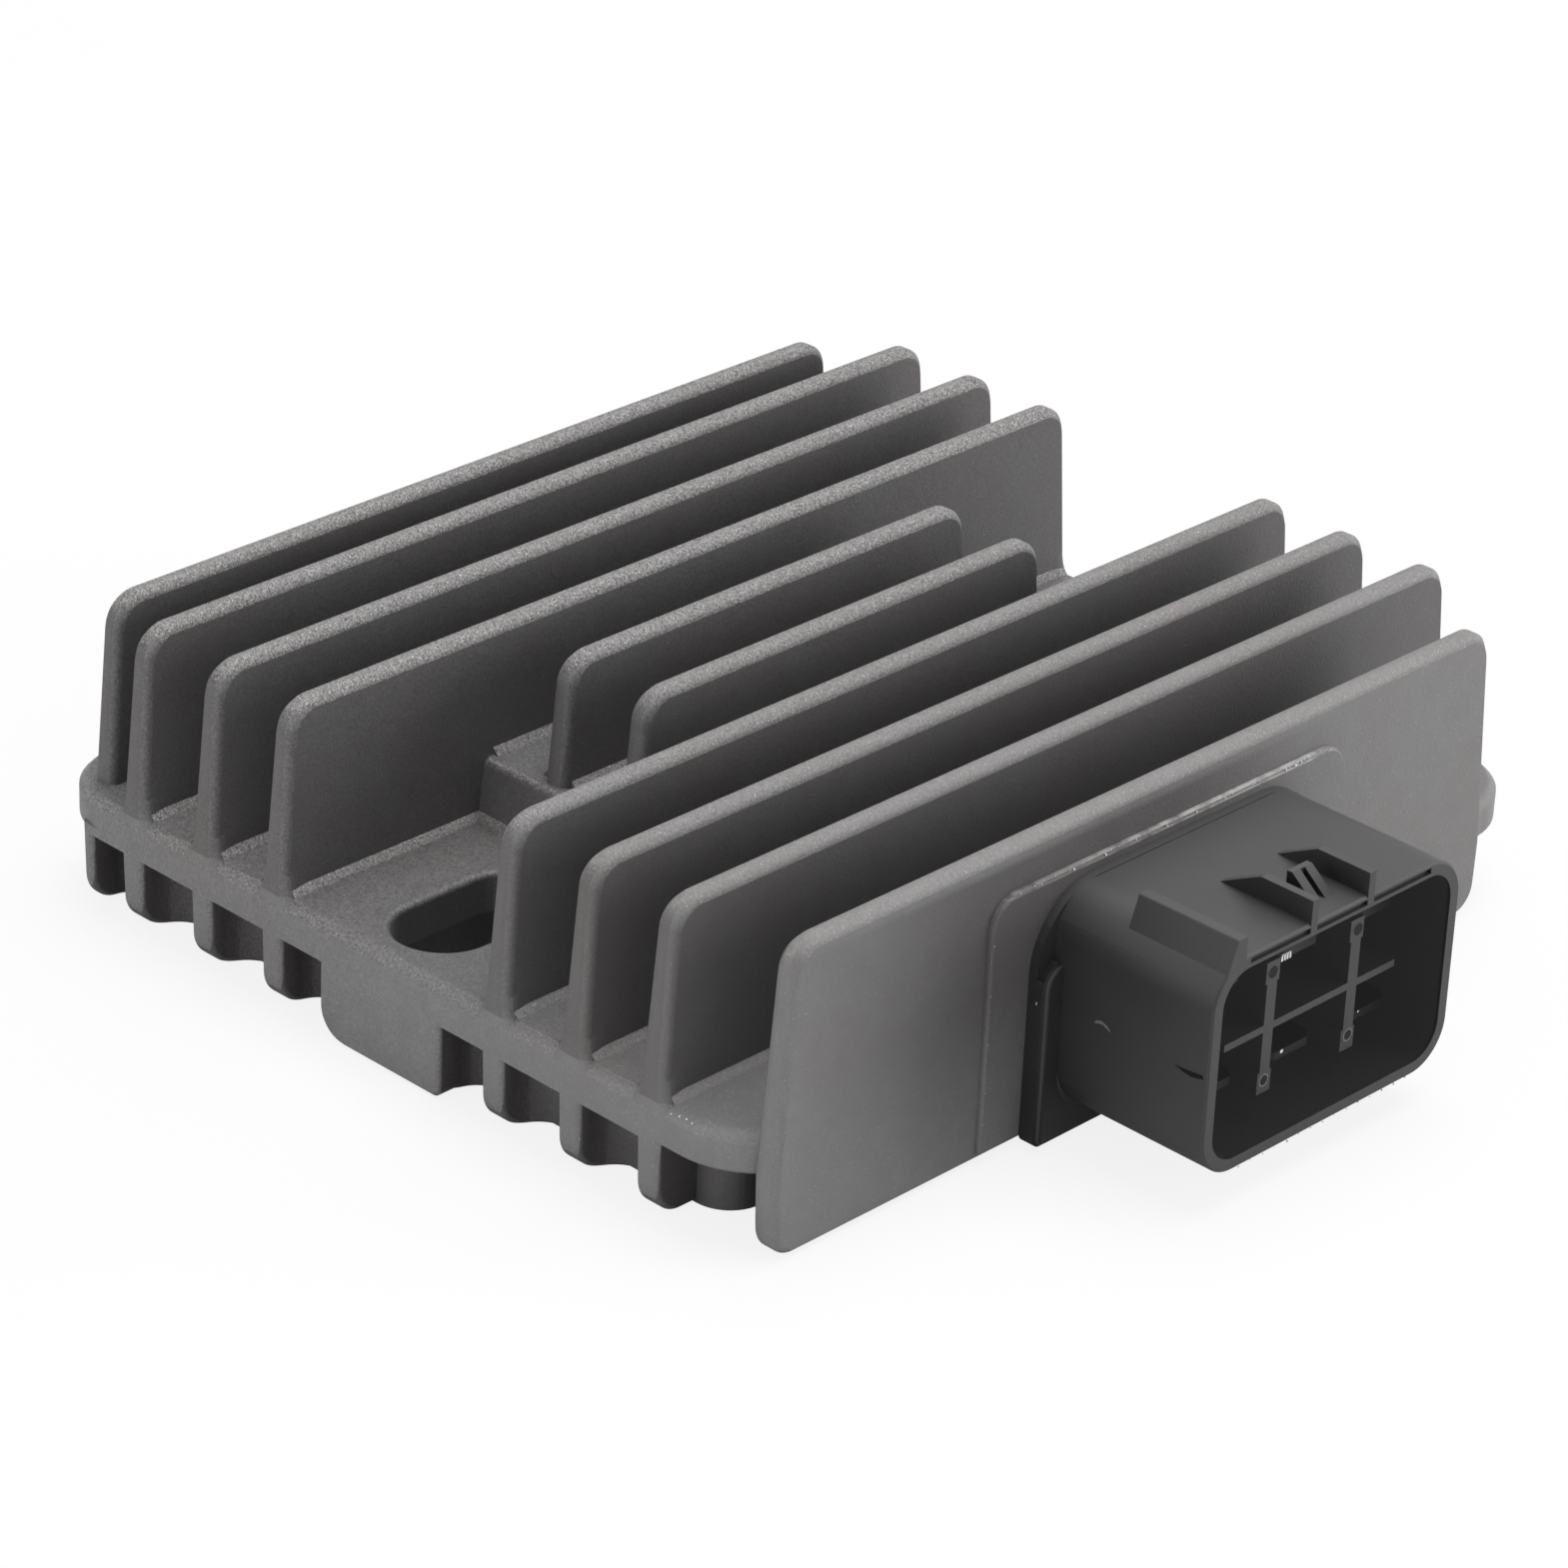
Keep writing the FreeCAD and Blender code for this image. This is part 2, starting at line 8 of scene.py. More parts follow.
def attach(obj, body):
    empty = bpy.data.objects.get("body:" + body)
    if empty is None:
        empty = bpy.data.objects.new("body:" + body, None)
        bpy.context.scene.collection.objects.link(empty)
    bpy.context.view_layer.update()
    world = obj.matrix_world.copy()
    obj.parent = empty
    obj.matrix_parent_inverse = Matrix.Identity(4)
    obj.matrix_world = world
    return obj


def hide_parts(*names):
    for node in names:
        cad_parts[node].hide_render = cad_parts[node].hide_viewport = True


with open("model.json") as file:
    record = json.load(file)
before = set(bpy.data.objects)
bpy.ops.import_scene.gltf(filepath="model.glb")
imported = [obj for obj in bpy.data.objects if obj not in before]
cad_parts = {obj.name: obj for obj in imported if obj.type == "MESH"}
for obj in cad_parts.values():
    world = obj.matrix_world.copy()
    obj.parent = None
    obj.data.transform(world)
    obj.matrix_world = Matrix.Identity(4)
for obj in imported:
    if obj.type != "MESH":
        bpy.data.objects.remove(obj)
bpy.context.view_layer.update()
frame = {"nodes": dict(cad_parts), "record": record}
root = "root"
mm = 0.001


# Node helpers

def newMaterial(name):
    material = bpy.data.materials.new(name)
    material.use_nodes = True
    tree = material.node_tree
    tree.nodes.clear()
    shader = tree.nodes.new("ShaderNodeBsdfPrincipled")
    output = tree.nodes.new("ShaderNodeOutputMaterial")
    tree.links.new(shader.outputs["BSDF"], output.inputs["Surface"])
    return material, tree, shader


def setSocket(tree, socket, value):
    # links a socket, or writes a plain value
    if isinstance(value, bpy.types.NodeSocket):
        tree.links.new(value, socket)
    else:
        socket.default_value = value


def addNode(tree, kind, inputs=None, **settings):
    node = tree.nodes.new(kind)
    for key, value in settings.items():
        setattr(node, key, value)
    for key, value in (inputs or {}).items():
        setSocket(tree, node.inputs[key], value)
    return node


def calc(tree, operation, first, second=0.0):
    return addNode(tree, "ShaderNodeMath", {0: first, 1: second}, operation=operation).outputs[0]


def times(tree, *values):
    product = values[0]
    for value in values[1:]:
        product = calc(tree, "MULTIPLY", product, value)
    return product


def plus(tree, *values):
    total = values[0]
    for value in values[1:]:
        total = calc(tree, "ADD", total, value)
    return total


def minus(tree, first, *values):
    for value in values:
        first = calc(tree, "SUBTRACT", first, value)
    return first


def mostOf(tree, *values):
    most = values[0]
    for value in values[1:]:
        most = calc(tree, "MAXIMUM", most, value)
    return most


def above(tree, value, limit):
    return calc(tree, "GREATER_THAN", value, limit)


def below(tree, value, limit):
    return calc(tree, "LESS_THAN", value, limit)


def within(tree, value, limit):
    # one while the value lies no further from zero than the limit
    return below(tree, calc(tree, "ABSOLUTE", value), limit)


def stretch(tree, value, low, high, toLow=0.0, toHigh=1.0):
    node = addNode(tree, "ShaderNodeMapRange", {"Value": value, "From Min": low, "From Max": high,
                                                "To Min": toLow, "To Max": toHigh})
    return node.outputs["Result"]


def band(tree, value, middle, half, soft):
    # one inside the band, falling to nothing over the soft edge
    offset = calc(tree, "ABSOLUTE", minus(tree, value, middle))
    return stretch(tree, offset, half, half + soft, 1.0, 0.0)


def noise(tree, place, scale, detail=4.0, roughness=0.55):
    node = addNode(tree, "ShaderNodeTexNoise", {"Vector": place, "Scale": scale, "Detail": detail,
                                                "Roughness": roughness})
    return node.outputs["Fac"]


def mixColor(tree, amount, first, second, blend="MIX"):
    node = addNode(tree, "ShaderNodeMix", data_type="RGBA", blend_type=blend)
    for index, value in ((0, amount), (6, first), (7, second)):
        setSocket(tree, node.inputs[index], value)
    return node.outputs[2]


def bumped(tree, shader, height, strength, depth):
    bump = addNode(tree, "ShaderNodeBump", {"Height": height, "Strength": strength, "Distance": depth})
    tree.links.new(bump.outputs["Normal"], shader.inputs["Normal"])


def objectPlace(tree):
    return addNode(tree, "ShaderNodeTexCoord").outputs["Object"]


def axesOf(tree, vector):
    outputs = addNode(tree, "ShaderNodeSeparateXYZ", {"Vector": vector}).outputs
    return outputs[0], outputs[1], outputs[2]


def facingOf(tree):
    return axesOf(tree, addNode(tree, "ShaderNodeNewGeometry").outputs["True Normal"])


def rimMark(tree):
    # one on the broken edges, as smoothSkin marks them
    return addNode(tree, "ShaderNodeAttribute", attribute_name="rim").outputs["Fac"]


def grey(value, warm=0.0):
    return (value * (1 + warm), value, value * (1 - warm), 1.0)


# Materials

castSizes = {
    "blotch": 60, "cloud": 420, "grain": 3900, "fine": 7600, "lineGrain": 500, "depth": 0.00012,
    "tipLow": 0.0288, "tipHigh": 0.0295,  # where the tips of the fins turn worn
    "softX": 0.038, "crispX": -0.010,  # the grain is softer towards the connector
    "floorZ": 0.01145, "bayX": 0.0120, "bayZ": 0.0115,  # floor between the fins
    "finsEndX": 0.0435, "wallX": 0.0440,  # last gap and outer wall
    "underZ": 0.00742, "feetEndY": 0.0512,  # underside of the plate
    "slotX": 0.00485, "slotEndY": 0.0492, "slotZ": 0.0108,
    "shadeY": -0.013, "shadeHalfY": 0.013, "shadeSoftY": 0.022,  # shade round the connector
    "shadeFullZ": 0.016, "shadeTopZ": 0.0278, "shadeEndZ": 0.0285,
    "lineX": 0.0460, "lowLineZ": 0.02522, "highLineZ": 0.0255,  # painted highlight and chipped bare metal along the pad's edge
    "lowLineHalf": 0.00004, "highLineHalf": 0.00003, "lineSoft": 0.00004, "lineFadeY": -0.020,
    "color": {
        "warm": (0.187, 0.181, 0.179, 1), "cool": (0.197, 0.198, 0.205, 1), "cloud": (0.158, 0.150, 0.147, 1),
        "pit": (0.078, 0.074, 0.072, 1), "crest": (0.33, 0.325, 0.32, 1), "wornAndLit": (0.360, 0.345, 0.337, 1),
        "sparkle": (0.68, 0.67, 0.66, 1), "padSheenAndBare": (0.62, 0.61, 0.60, 1), "shadeTint": (0.045, 0.0, 0.005, 1)},
    "share": {
        "lowRoot": 0.45, "highRoot": 0.9, "floorLit": 0.30, "rimWorn": 0.15,
        "cloud": 0.35, "wornAndLit": 0.70, "sparkle": 0.8, "padSheenAndBare": 0.75, "slot": 0.22,
        "flank": 0.36, "ends": 0.34, "bay": 0.16, "under": 0.45, "shade": 0.45, "mostShade": 0.62},
}


def wornAndLitPlaces(tree, z, facing, rim, up, aboveFloor):
    # worn tips fully and broken edges a little, with painted highlight strongly on the sloping roots and less
    # on floors that face up
    size, share = castSizes, castSizes["share"]
    tip = stretch(tree, z, size["tipLow"], size["tipHigh"])
    roots = times(tree, rim, stretch(tree, facing[2], 0.45, 0.6),
                  stretch(tree, aboveFloor, 0.0, 1.0, share["lowRoot"], share["highRoot"]))
    return mostOf(tree, tip, roots, times(tree, up, share["floorLit"]), times(tree, rim, share["rimWorn"]))


def paintedShade(tree, x, y, z, facing, up, aboveFloor):
    # painted shade between the fins, on their ends, under the plate and round the connector
    size, share = castSizes, castSizes["share"]
    inner = below(tree, x, size["finsEndX"])
    flank = times(tree, stretch(tree, calc(tree, "ABSOLUTE", facing[0]), 0.85, 0.97), inner, share["flank"])
    ends = times(tree, stretch(tree, calc(tree, "ABSOLUTE", facing[1]), 0.60, 0.75), aboveFloor, inner,
                 share["ends"])
    bay = times(tree, within(tree, x, size["bayX"]), up, below(tree, z, size["bayZ"]), share["bay"])
    under = times(tree, below(tree, z, size["underZ"]), inner, within(tree, y, size["feetEndY"]),
                  above(tree, facing[0], -0.5), share["under"])
    shade = times(tree, band(tree, y, size["shadeY"], size["shadeHalfY"], size["shadeSoftY"]),
                  above(tree, x, size["wallX"]), stretch(tree, z, 0.0, size["shadeFullZ"]),
                  stretch(tree, z, size["shadeEndZ"], size["shadeTopZ"]), share["shade"])
    return calc(tree, "MINIMUM", plus(tree, flank, ends, bay, under, shade), share["mostShade"])


def padEdgeSheenAndChips(tree, place, x, y, z):
    # two broken pale lines along the upper edge of the pad: painted highlight on its rounded edges, partly
    # chipped bare metal
    size = castSizes
    low = band(tree, z, size["lowLineZ"], size["lowLineHalf"], size["lineSoft"])
    high = band(tree, z, size["highLineZ"], size["highLineHalf"], size["lineSoft"])
    broken = stretch(tree, noise(tree, place, size["lineGrain"], 3), 0.34, 0.56)
    fade = stretch(tree, y, size["lineFadeY"], 0.0, 0.3, 1.0)
    return times(tree, mostOf(tree, low, high), broken, fade, above(tree, x, size["lineX"]))


def castAluminium():
    # sandy cast skin with painted shade between the fins, under the plate, in the slot and round the
    # connector, paler worn grains on the tips, and painted highlight on the roots and on what faces up
    material, tree, shader = newMaterial("castAluminium")
    size, color, share = castSizes, castSizes["color"], castSizes["share"]
    place = objectPlace(tree)
    x, y, z = axesOf(tree, place)
    facing = facingOf(tree)
    rim = rimMark(tree)
    up = stretch(tree, facing[2], 0.55, 0.9)
    aboveFloor = above(tree, z, size["floorZ"])
    blotch = noise(tree, place, size["blotch"], 3)
    cloud = noise(tree, place, size["cloud"], 3)
    grain = noise(tree, place, size["grain"], 4, 0.75)
    fine = noise(tree, place, size["fine"], 2, 0.6)
    wornAndLit = wornAndLitPlaces(tree, z, facing, rim, up, aboveFloor)
    crisp = stretch(tree, x, size["softX"], size["crispX"], 0.35, 1.0)

    base = mixColor(tree, stretch(tree, blotch, 0.35, 0.65), color["warm"], color["cool"])
    base = mixColor(tree, stretch(tree, cloud, 0.35, 0.70, 0.0, share["cloud"]), base, color["cloud"])
    pits = times(tree, stretch(tree, grain, 0.45, 0.62), stretch(tree, wornAndLit, 0.0, 0.6, 0.40, 0.95), crisp)
    base = mixColor(tree, pits, base, color["pit"])
    crests = times(tree, stretch(tree, grain, 0.44, 0.32), stretch(tree, wornAndLit, 0.0, 0.6, 0.18, 0.50), crisp)
    base = mixColor(tree, crests, base, color["crest"])
    most, least = [stretch(tree, crisp, 0.0, 1.0, 0.55, end) for end in (1.0, 0.1)]
    # paler grains where worn, and painted highlight where lit from above
    wornAndLitGrain = times(tree, wornAndLit, stretch(tree, grain, 0.36, 0.58, most, least), share["wornAndLit"])
    base = mixColor(tree, wornAndLitGrain, base, color["wornAndLit"])
    level = minus(tree, 0.705, times(tree, wornAndLit, crisp, 0.12))
    sparkle = stretch(tree, minus(tree, fine, level), 0.0, 0.035)
    base = mixColor(tree, times(tree, sparkle, share["sparkle"]), base, color["sparkle"])

    # painted shade, darkening the colour with a slight warm tint
    dark = paintedShade(tree, x, y, z, facing, up, aboveFloor)
    base = mixColor(tree, 1.0, base, mixColor(tree, dark, (1, 1, 1, 1), color["shadeTint"]), "MULTIPLY")
    # painted shade in the bolt slot and in what shows through it
    slot = times(tree, within(tree, x, size["slotX"]), within(tree, y, size["slotEndY"]),
                 below(tree, z, size["slotZ"]), share["slot"])
    base = mixColor(tree, slot, base, (0, 0, 0, 1))
    line = times(tree, padEdgeSheenAndChips(tree, place, x, y, z), share["padSheenAndBare"])
    base = mixColor(tree, line, base, color["padSheenAndBare"])

    rough = minus(tree, stretch(tree, grain, 0.3, 0.7, 0.66, 0.50), times(tree, sparkle, 0.2))
    setSocket(tree, shader.inputs["Base Color"], base)
    setSocket(tree, shader.inputs["Roughness"], rough)
    shader.inputs["Metallic"].default_value = 0.2
    shader.inputs["Specular IOR Level"].default_value = 0.35
    bumped(tree, shader, plus(tree, grain, times(tree, fine, 0.4)), 0.6, size["depth"])
    return material


plasticSizes = {
    "grain": 3200, "flow": 90, "dust": 1700, "depth": 0.00004,
    "mouthY": -0.00135, "mouthZ": 0.01395, "mouthHalfY": 0.0154, "mouthHalfZ": 0.00955,
    "mouthBackX": 0.0515, "mouthX": 0.0649, "barFrontX": 0.0622, "roofZ": 0.0215,
    "ridgeX": 0.0489, "ridgeZ": 0.0186, "arrisX": 0.04855, "arrisHalf": 0.00005, "arrisSoft": 0.00008,
    "sideLitX": 0.061, "sideDullX": 0.050,
    "tone": {"low": 0.0135, "high": 0.0185, "roof": 0.042, "dust": 0.08, "arrisHighlight": 0.11, "mouth": 0.012},
    "share": {"dust": 0.3, "arrisHighlight": 0.4, "gloss": 0.55, "mouthDull": 0.5, "ridgeDull": 0.38, "sideDull": 0.12,
              "paintedGlow": 0.0145},
}


def mouthInside(tree, x, y, z, facing):
    # painted shade inside the rounded outline of the mouth; the fronts of the partition's bars stay outside
    # it
    size = plasticSizes
    across = calc(tree, "DIVIDE", minus(tree, y, size["mouthY"]), size["mouthHalfY"])
    upright = calc(tree, "DIVIDE", minus(tree, z, size["mouthZ"]), size["mouthHalfZ"])
    outline = plus(tree, *[calc(tree, "POWER", calc(tree, "ABSOLUTE", part), 6.0)
                           for part in (across, upright)])
    barFront = times(tree, above(tree, facing[0], 0.9), above(tree, x, size["barFrontX"]))
    return times(tree, stretch(tree, outline, 1.10, 1.25, 1.0, 0.0), above(tree, x, size["mouthBackX"]),
                 below(tree, x, size["mouthX"]), minus(tree, 1.0, barFront))


def blackPlastic():
    # moulded black plastic with painted highlight on its roof and flange edge, and painted shade, duller
    # gloss and a faint painted glow inside the mouth
    material, tree, shader = newMaterial("blackPlastic")
    size, tone, share = plasticSizes, plasticSizes["tone"], plasticSizes["share"]
    place = objectPlace(tree)
    x, y, z = axesOf(tree, place)
    facing = facingOf(tree)
    grain = noise(tree, place, size["grain"], 3)
    flow = noise(tree, place, size["flow"], 4)
    dust = stretch(tree, noise(tree, place, size["dust"], 2), 0.72, 0.77)
    inside = mouthInside(tree, x, y, z, facing)
    # painted highlight: the roof drawn lighter where it faces up
    roof = times(tree, stretch(tree, facing[2], 0.3, 1.0), above(tree, z, size["roofZ"]))
    ridge = times(tree, rimMark(tree), below(tree, x, size["ridgeX"]), below(tree, z, size["ridgeZ"]))
    # painted highlight along the flange's rounded edge
    arrisHighlight = times(tree, ridge, band(tree, x, size["arrisX"], size["arrisHalf"], size["arrisSoft"]))
    sideShade = times(tree, below(tree, facing[1], -0.9),
                      stretch(tree, x, size["sideLitX"], size["sideDullX"]))

    base = mixColor(tree, stretch(tree, flow, 0.3, 0.7), grey(tone["low"]), grey(tone["high"], 0.02))
    base = mixColor(tree, roof, base, grey(tone["roof"]))
    base = mixColor(tree, times(tree, dust, share["dust"]), base, grey(tone["dust"], 0.04))
    base = mixColor(tree, times(tree, arrisHighlight, share["arrisHighlight"]), base, grey(tone["arrisHighlight"]))
    # painted shade inside the mouth
    base = mixColor(tree, inside, base, grey(tone["mouth"]))
    gloss = minus(tree, share["gloss"], times(tree, inside, share["mouthDull"]),
                  times(tree, ridge, share["ridgeDull"]), times(tree, sideShade, share["sideDull"]))
    setSocket(tree, shader.inputs["Base Color"], base)
    setSocket(tree, shader.inputs["Roughness"], stretch(tree, flow, 0.3, 0.7, 0.46, 0.58))
    setSocket(tree, shader.inputs["Specular IOR Level"], gloss)
    bumped(tree, shader, grain, 0.25, size["depth"])

    # faint even painted glow that lifts the blacks in the mouth
    setSocket(tree, shader.inputs["Emission Strength"], times(tree, inside, share["paintedGlow"]))
    return material


tinSizes = {"rub": 2600, "depth": 0.00002, "paintedGlow": 0.012}


def tinPlate():
    # tinned blade with fine rubbing along it, painted very dark as shade in the mouth, under the same painted
    # glow as the mouth
    material, tree, shader = newMaterial("tinPlate")
    along = addNode(tree, "ShaderNodeMapping", {"Vector": objectPlace(tree), "Scale": (0.15, 1, 1)})
    rub = noise(tree, along.outputs[0], tinSizes["rub"], 3)
    # painted shade: near-black tin, so the blades sink into the mouth's shade
    base = mixColor(tree, rub, (0.014, 0.0137, 0.013, 1), (0.026, 0.0255, 0.025, 1))
    setSocket(tree, shader.inputs["Base Color"], base)
    setSocket(tree, shader.inputs["Roughness"], stretch(tree, rub, 0.3, 0.7, 0.34, 0.50))
    shader.inputs["Metallic"].default_value = 1.0
    shader.inputs["Emission Strength"].default_value = tinSizes["paintedGlow"]
    bumped(tree, shader, rub, 0.2, tinSizes["depth"])
    return material


resinSizes = {"swell": 60, "fleck": 1400, "depth": 0.0008}


def pouredResin():
    # glossy dark resin that sagged a little as it set
    material, tree, shader = newMaterial("pouredResin")
    place = objectPlace(tree)
    swell = noise(tree, place, resinSizes["swell"], 2)
    fleck = noise(tree, place, resinSizes["fleck"], 3)
    base = mixColor(tree, stretch(tree, swell, 0.3, 0.7), grey(0.020), grey(0.032, 0.03))
    base = mixColor(tree, stretch(tree, fleck, 0.66, 0.74, 0.0, 0.3), base, grey(0.12))
    setSocket(tree, shader.inputs["Base Color"], base)
    setSocket(tree, shader.inputs["Roughness"], stretch(tree, swell, 0.3, 0.7, 0.24, 0.36))
    bumped(tree, shader, swell, 0.4, resinSizes["depth"])
    return material


packageSizes = {"dark": 0.8, "pale": 1.15, "roughSpan": 0.12, "depth": 0.00004}


def mouldedPackage(name, tone, warm, roughness, scale):
    # plain moulded or fired piece of the inside
    material, tree, shader = newMaterial(name)
    size = packageSizes
    grain = noise(tree, objectPlace(tree), scale, 3)
    base = mixColor(tree, stretch(tree, grain, 0.3, 0.7), grey(tone * size["dark"], warm),
                    grey(tone * size["pale"], warm))
    rough = stretch(tree, grain, 0.3, 0.7, roughness, roughness + size["roughSpan"])
    setSocket(tree, shader.inputs["Base Color"], base)
    setSocket(tree, shader.inputs["Roughness"], rough)
    bumped(tree, shader, grain, 0.2, size["depth"])
    return material


boardSizes = {"weave": 260, "depth": 0.00003}


def boardLaminate():
    # green laminate with its glass weave just showing
    material, tree, shader = newMaterial("boardLaminate")
    weave = addNode(tree, "ShaderNodeTexWave", {"Vector": objectPlace(tree), "Scale": boardSizes["weave"],
                                                "Distortion": 1.0}).outputs["Fac"]
    base = mixColor(tree, weave, (0.018, 0.075, 0.030, 1), (0.026, 0.100, 0.042, 1))
    setSocket(tree, shader.inputs["Base Color"], base)
    shader.inputs["Roughness"].default_value = 0.35
    bumped(tree, shader, weave, 0.1, boardSizes["depth"])
    return material


def plainMark(name, tone, roughness, gloss=0.5):
    # small chip or mark of one tone, a little speckled
    material, tree, shader = newMaterial(name)
    speck = stretch(tree, noise(tree, objectPlace(tree), 5200, 2), 0.3, 0.7)
    setSocket(tree, shader.inputs["Base Color"], mixColor(tree, speck, grey(tone * 0.7), grey(tone)))
    shader.inputs["Roughness"].default_value = roughness
    shader.inputs["Specular IOR Level"].default_value = gloss
    return material


materials = {
    "casting": castAluminium(),
    "connector_plastic": blackPlastic(),
    "terminal_metal": tinPlate(),
    "potting": pouredResin(),
    "board_laminate": boardLaminate(),
    "sheet": mouldedPackage("insulatingSheet", 0.45, 0.04, 0.5, 900),
    "package_plastic": mouldedPackage("packagePlastic", 0.028, 0.0, 0.45, 2400),
    "capacitor_body": mouldedPackage("capacitorCeramic", 0.22, 0.35, 0.4, 2000),
    "resistor_body": mouldedPackage("resistorCeramic", 0.05, -0.05, 0.35, 2600),
}
bareChipAndGlint = plainMark("bareChipAndGlint", 0.85, 0.35)
flashMetal = plainMark("flashMetal", 0.46, 0.5)
paleScuffAndHighlight = plainMark("paleScuffAndHighlight", 0.16, 0.6)
slitShade = plainMark("slitShade", 0.008, 0.7, 0.1)
pinShadow = plainMark("pinShadow", 0.022, 0.6, 0.1)
slotOf = {part["node"]: part["material_slot"] for part in frame["record"]["subparts"]}
for name, node in frame["nodes"].items():
    node.data.materials.clear()
    node.data.materials.append(materials[slotOf[name]])
print("materials on", len(frame["nodes"]), "pieces")


# Visible skins of the casting and the connector

skinSizes = {"merge": 0.000001, "flat": 0.4, "rimTurn": 0.93}


def smoothSkin(nodeName, skinName, sharpDegrees, joinsFlats):
    # merged copy whose broken edges shade as rounds, with its rim faces marked for the material
    source = frame["nodes"][nodeName]
    skin = bpy.data.objects.new(skinName, source.data.copy())
    bpy.context.scene.collection.objects.link(skin)
    mesh = bmesh.new()
    mesh.from_mesh(skin.data)
    bmesh.ops.remove_doubles(mesh, verts=mesh.verts, dist=skinSizes["merge"])
    if joinsFlats:
        bmesh.ops.dissolve_limit(mesh, angle_limit=math.radians(skinSizes["flat"]), verts=mesh.verts,
                                 edges=mesh.edges)
    rim = mesh.faces.layers.float.new("rim")
    for face in mesh.faces:
        face.smooth = True
        face[rim] = 1.0 if max(abs(part) for part in face.normal) < skinSizes["rimTurn"] else 0.0
    for edge in mesh.edges:
        edge.smooth = len(edge.link_faces) == 2 and edge.calc_face_angle(0) < math.radians(sharpDegrees)
    mesh.to_mesh(skin.data)
    mesh.free()
    weigh = skin.modifiers.new("weigh", "WEIGHTED_NORMAL")
    weigh.mode, weigh.keep_sharp, weigh.weight = "FACE_AREA", True, 100
    depsgraph = bpy.context.evaluated_depsgraph_get()
    shaped = bpy.data.meshes.new_from_object(skin.evaluated_get(depsgraph))
    skin.modifiers.clear()
    skin.data = shaped
    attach(skin, root)
    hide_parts(nodeName)
    print(skinName, len(skin.data.polygons), "faces")


smoothSkin("heatsink_housing", "housingSkin", 50, True)
smoothSkin("connector_housing", "connectorSkin", 25, False)


# Piece helpers

def meshPiece(name, points, faces=(), edges=()):
    mesh = bpy.data.meshes.new(name)
    mesh.from_pydata([[part * mm for part in point] for point in points], list(edges), list(faces))
    piece = bpy.data.objects.new(name, mesh)
    bpy.context.scene.collection.objects.link(piece)
    return piece


def keepPiece(piece):
    for face in piece.data.polygons:
        face.use_smooth = True
    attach(piece, root)


def ringPiece(name, rings, material):
    # skin over a row of open rings of points
    width = len(rings[0])
    faces = [(row * width + i, row * width + i + 1, (row + 1) * width + i + 1, (row + 1) * width + i)
             for row in range(len(rings) - 1) for i in range(width - 1)]
    piece = meshPiece(name, [point for ring in rings for point in ring], faces)
    piece.data.materials.append(material)
    keepPiece(piece)


# Blends that the casting has where each fin's end runs down into the front of the plate

toeSizes = {
    "fins": (2, 3, 4, 7, 8, 9), "pitch": 9.5, "middle": 5.5, "endY": 50.2, "lean": 0.072, "tipZ": 29.6,
    "tip": 1.225, "draft": 0.022, "bevel": 0.75, "sink": 0.03, "frontMost": 0.02,
    "frontFlare": 0.8, "sideFlare": 0.9, "lateFlare": 0.55, "lateY": 1.6, "endRunY": 3.0,
    "rings": ((14.2, -0.03), (13.2, 0.02), (12.5, 0.09), (12.0, 0.18), (11.5, 0.36), (11.0, 0.70),
              (10.6, 1.15), (10.35, 1.6)),  # height and flare
}


def toeSection(z, flare):
    # half an outline round the fin's end, from the front to where it dies out along the flank
    s = toeSizes
    y = s["endY"] + s["lean"] * (s["tipZ"] - z) + min(flare, s["frontMost"])
    half = s["tip"] + s["draft"] * (s["tipZ"] - z)
    return [(half - s["bevel"] + flare * s["frontFlare"], y),
            (half + flare * s["sideFlare"], y - s["bevel"] - s["sink"]),
            (half + flare * s["lateFlare"], y - s["lateY"]),
            (half - s["sink"], y - s["endRunY"])]


def buildToes():
    for index in toeSizes["fins"]:
        x = (index - toeSizes["middle"]) * toeSizes["pitch"]
        for end, side in (("Near", -1), ("Far", 1)):
            rings = []
            for z, flare in toeSizes["rings"]:
                right = toeSection(z, flare)
                section = [(-across, along) for across, along in reversed(right)] + right
                rings.append([(x + across, side * along, z) for across, along in section])
            ringPiece("finToe%d%s" % (index, end), rings, materials["casting"])


rootSizes = {"midY": -1.35, "midZ": 13.95, "halfY": 16.3, "halfZ": 10.45, "corner": 4.4, "r": 1.1,
             "faceX": 48.72, "sink": 0.01, "steps": 5, "parts": 8}


def buildShroudRoot():
    # hollow round under the shroud where it leaves the flange, dying out up the sides
    s = rootSizes
    halfY, halfZ = s["halfY"] - s["corner"], s["halfZ"] - s["corner"]
    rings = []
    for step in range(s["steps"] + 1):
        turn = math.radians(90 * step / s["steps"])
        ring = []
        for side in (-1, 1):
            for part in range(s["parts"] + 1):
                share = part / s["parts"] if side < 0 else 1 - part / s["parts"]
                around, grown = math.radians(90 * share), s["r"] * share
                reach = s["corner"] + grown * (1 - math.sin(turn)) - s["sink"]
                ring.append((s["faceX"] + grown * (1 - math.cos(turn)),
                             s["midY"] + side * (halfY + reach * math.cos(around)),
                             s["midZ"] - halfZ - reach * math.sin(around)))
        rings.append(ring)
    ringPiece("shroudRoot", rings, materials["connector_plastic"])


buildToes()
buildShroudRoot()
print("toes and shroud root")


# Chips of bare metal and burrs of plastic, scattered along edges

fleckShape = {"least": (0.25, 0.25, 0.15), "most": (1.2, 0.8, 0.5), "fullTurn": (6.28, 6.28, 6.28)}


